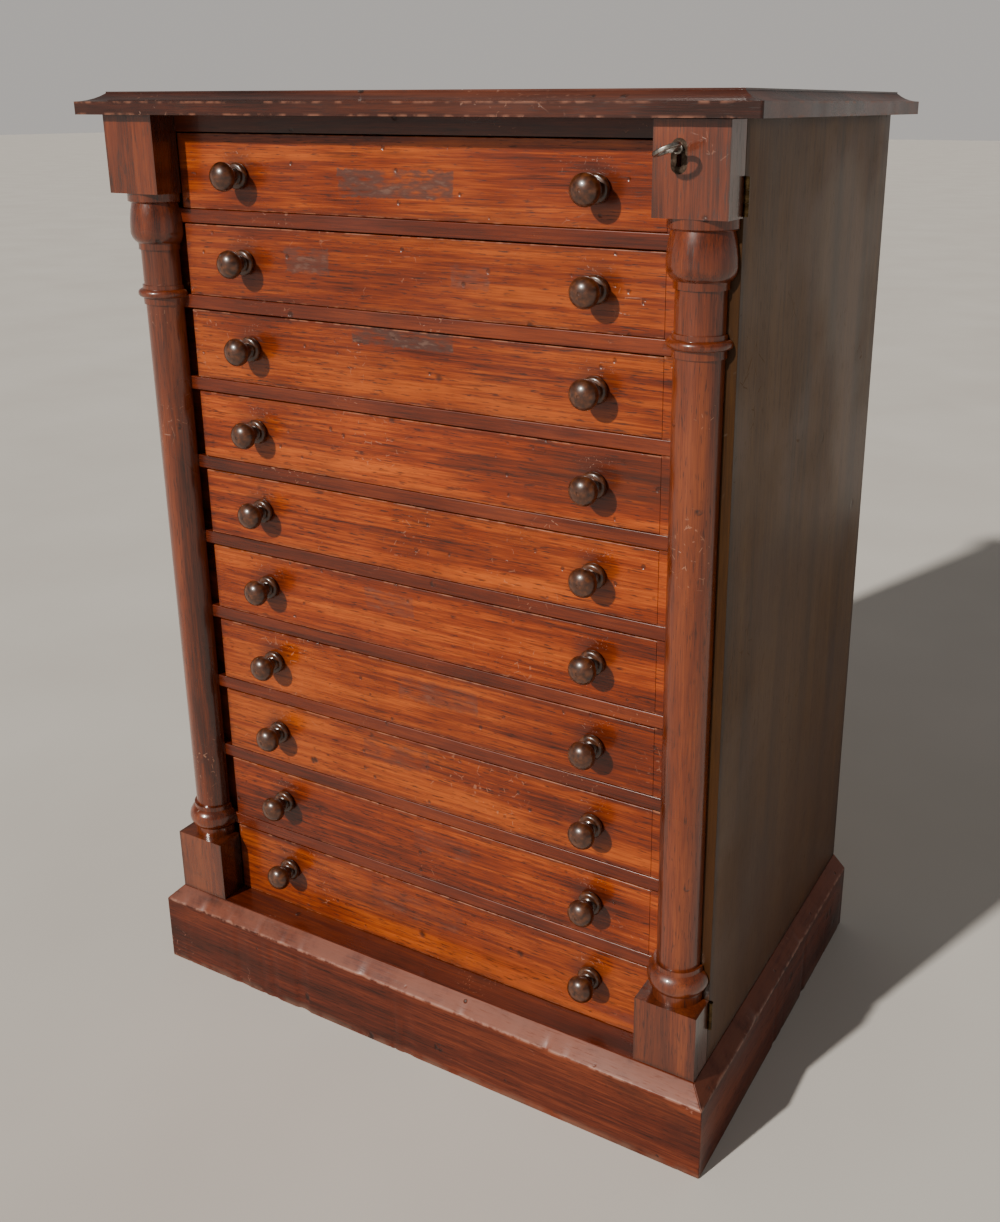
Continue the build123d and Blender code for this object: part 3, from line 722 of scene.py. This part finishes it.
def worn_plinth(node, material, along, seed):
    """A plinth board with dents in the arris under its bevel and in its foot."""
    low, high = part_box(node)
    built = cleaned(node)
    ease_edges(built, ease_plinth, 3)
    cut_across(built, along, plinth_step, low, high)
    for level in plinth_levels:
        cut(built, (0, 0, level), (0, 0, 1))
    across = 1 - along
    outward = -1.0 if along == 0 or low[0] < 0 else 1.0
    outer = low[across] if outward < 0 else high[across]
    bevel_up, bevel_in = bevel_dent_reach
    foot_up, foot_in = foot_dent_reach
    for vert in built.verts:
        place = vert.co[along]
        level = vert.co[2]
        from_face = abs(vert.co[across] - outer)
        near_arris = nearness(abs(level - plinth_arris), bevel_up) * nearness(from_face, bevel_in)
        near_foot = nearness(level, foot_up) * nearness(from_face, foot_in)
        depth = dent_depth(place, seed, bevel_dents) * near_arris
        depth += dent_depth(place, seed + 3.0, foot_dents) * near_foot
        vert.co[across] -= outward * depth * 0.8
        if level > plinth_arris / 2:
            vert.co[2] -= depth * 0.5
    add_board(node, built, material, 34)


def worn_top(material):
    """The top with small dents in the arrises of its fascia, which isn't quite even."""
    node = "top_board"
    low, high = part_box(node)
    built = cleaned(node)
    ease_edges(built, ease_top, 3, lambda edge: max(vert.co[2] for vert in edge.verts) > low[2] + 0.0005
               or is_outer(edge, low, high))
    for axis, step in enumerate(top_steps):
        cut_across(built, axis, step, low, high)
    for vert in built.verts:
        x, y, z = vert.co
        from_edge = min(x - low[0], high[0] - x, y - low[1])
        if from_edge < 0.002 and y < high[1] - 0.001:
            up = z - low[2]
            from_arris = min(up, top_fascia - up) if up < top_fascia + 0.0005 else 1.0
            near_arris = nearness(max(from_arris, 0.0), fascia_dent_reach)
            depth = dent_depth(x + y, 11.0 + (up > top_fascia / 2), fascia_dents) * near_arris
            depth += fascia_unevenness * (1.0 + noise.noise(Vector((x * 60, y * 60, z * 200))))
            if y - low[1] < 0.002:
                vert.co[1] += depth
            elif x < 0:
                vert.co[0] += depth
            else:
                vert.co[0] -= depth
    add_board(node, built, material, 30)


# ================================================================== the cabinet
def paint(node, material):
    """A new finish on a CAD node whose shape stays."""
    shown = frame["nodes"][node]
    if not shown.material_slots:
        shown.data.materials.append(material)
    for entry in shown.material_slots:
        entry.material = material


def dress_case():
    worn_top(top_finish())
    for side, seed in (("left", 2.2), ("right", 6.4)):
        node = f"side_panel_{side}"
        eased_board(node, side_finish(f"{side}_side_mahogany", node, seed), outer_only=True)
    # the frieze under the top's overhang is painted at half the rails' tone: painted shade
    eased_board("frieze_rail", rail_finish("frieze_mahogany_painted_shade", 8.8, 0.5))
    eased_board("drawer_rails", rail_finish("rail_mahogany", 3.7), ease_rail, 3)
    eased_board("bottom_board", rail_finish("bottom_mahogany", 9.6, 0.85))
    eased_board("back_panel", bare_finish("back_pine", "z", 4.4, PINE_TONES))
    for side, grain, seed, dent_seed in (("front", "x", 1.9, 2.5), ("left", "y", 5.2, 9.1),
                                         ("right", "y", 7.5, 4.7)):
        node = f"plinth_{side}"
        worn_plinth(node, plinth_finish(f"{node}_mahogany", grain, seed), GRAIN[grain], dent_seed)
    inner = bare_finish("carcass_pine", "y", 3.3, PINE_TONES)
    for node in ("plinth_back", "plinth_glue_blocks", "drawer_runners", "drawer_guides", "drawer_stops"):
        paint(node, inner)
    # the fillets beside the left pilaster are painted darker than the rails: painted shade of the pilaster
    paint("left_fillets", rail_finish("fillet_mahogany_painted_shade", 6.6, 0.8))


def dress_pilasters():
    paint("left_pilaster", post_finish("left_post_mahogany", "left_pilaster", 4.9))
    paint("locking_pilaster", post_finish("locking_post_mahogany", "locking_pilaster", 8.3))


def eased_front(number, material):
    """A drawer front with its arrises taken off, but for the end beside the locking pilaster."""
    node = f"drawer_{number:02d}_front"
    built = cleaned(node)
    low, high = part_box(node)
    ease_edges(built, ease_board, 2, lambda edge: is_outer(edge, low, high)
               and min(vert.co[0] for vert in edge.verts) < high[0] - ease_board)
    add_board(node, built, material)


def matching_fillet(number, material):
    """The strip beside a drawer, behind the locking pilaster, of the same mahogany as the front."""
    low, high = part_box(f"drawer_{number:02d}_front")
    built = cleaned("right_fillets")
    middle = (low[2] + high[2]) / 2
    others = [vert for vert in built.verts if abs(vert.co[2] - middle) > (high[2] - low[2])]
    bmesh.ops.delete(built, geom=others, context="VERTS")
    name = f"right_fillet_{number:02d}"
    add_piece(name, to_mesh(built, name), "right_fillets", material)


def dress_drawers():
    knob = knob_finish()
    lining = bare_finish("drawer_lining", "y", 7.7, LINING_TONES)
    for number in range(1, drawer_count + 1):
        mahogany = front_finish(number)
        eased_front(number, mahogany)
        matching_fillet(number, mahogany)
        dressed_knobs(number, knob)
        paint(f"drawer_{number:02d}_box", lining)


def dress_metal():
    brass = metal_finish("old_brass", (0.030, 0.018, 0.008), (0.085, 0.052, 0.022), (0.19, 0.125, 0.052))
    iron = metal_finish("old_iron", (0.16, 0.145, 0.13), (0.38, 0.35, 0.32), (0.62, 0.59, 0.55))
    plate = metal_finish("dulled_plate", (0.022, 0.014, 0.010), (0.055, 0.038, 0.028), (0.13, 0.095, 0.07),
                         (0.40, 0.65))
    for node in ("hinge_case_leaves", "hinge_flap_leaves", "hinge_pins", "hinge_case_screws",
                 "hinge_flap_screws", "strike_plate", "lock_cover"):
        paint(node, brass)
    for node in ("lock_case", "lock_bolt", "key"):
        paint(node, iron)
    paint("keyhole_escutcheon", plate)


# ================================================================== studio
def add_camera():
    data = bpy.data.cameras.new("camera")
    data.lens = sensor_width * focal_pixels / photo_height
    data.sensor_width = sensor_width
    data.shift_x = (photo_width / 2 - optical_centre[0]) / photo_height
    data.shift_y = (optical_centre[1] - photo_height / 2) / photo_height
    camera = bpy.data.objects.new("camera", data)
    camera.location = camera_place
    ahead = Vector((-sin(camera_yaw) * cos(camera_pitch), cos(camera_yaw) * cos(camera_pitch),
                    sin(camera_pitch)))
    camera.rotation_euler = ahead.to_track_quat("-Z", "Y").to_euler()
    bpy.context.scene.collection.objects.link(camera)
    bpy.context.scene.camera = camera


def add_sun():
    data = bpy.data.lights.new("sun", "SUN")
    data.energy = sun_strength
    data.angle = sun_width
    data.color = sun_colour
    sun = bpy.data.objects.new("sun", data)
    towards = Vector((sin(sun_bearing) * cos(sun_height), cos(sun_bearing) * cos(sun_height),
                      -sin(sun_height)))
    sun.rotation_euler = towards.to_track_quat("-Z", "Y").to_euler()
    bpy.context.scene.collection.objects.link(sun)


def add_sky():
    """Surroundings that are brighter low down than overhead."""
    world = bpy.data.worlds.new("studio")
    world.use_nodes = True
    nodes = world.node_tree.nodes
    links = world.node_tree.links
    place = nodes.new("ShaderNodeTexCoord")
    height = nodes.new("ShaderNodeSeparateXYZ")
    ramp = nodes.new("ShaderNodeValToRGB")
    for element, (level, strength) in zip(ramp.color_ramp.elements, sky_levels):
        element.position = level
        element.color = [part * strength for part in sky_colour] + [1.0]
    links.new(place.outputs["Generated"], height.inputs[0])
    links.new(height.outputs["Z"], ramp.inputs[0])
    links.new(ramp.outputs[0], nodes["Background"].inputs["Color"])
    bpy.context.scene.world = world


def add_floor():
    reach = floor_reach
    mesh = bpy.data.meshes.new("floor")
    mesh.from_pydata([(-reach, -reach, 0), (reach, -reach, 0), (reach, reach, 0), (-reach, reach, 0)], [],
                     [(0, 1, 2, 3)])
    floor = bpy.data.objects.new("floor", mesh)
    finish = Finish("floor")
    cloud = finish.clouds(finish.place, 3.0, 3.0)
    tone = finish.graded(cloud, [(0.3, (0.63, 0.60, 0.56)), (0.7, (0.68, 0.65, 0.61))])
    floor.data.materials.append(finish.close(tone, 0.85, specular=0.2))
    bpy.context.scene.collection.objects.link(floor)


dress_case()
dress_pilasters()
dress_drawers()
dress_metal()
add_camera()
add_sun()
add_sky()
add_floor()
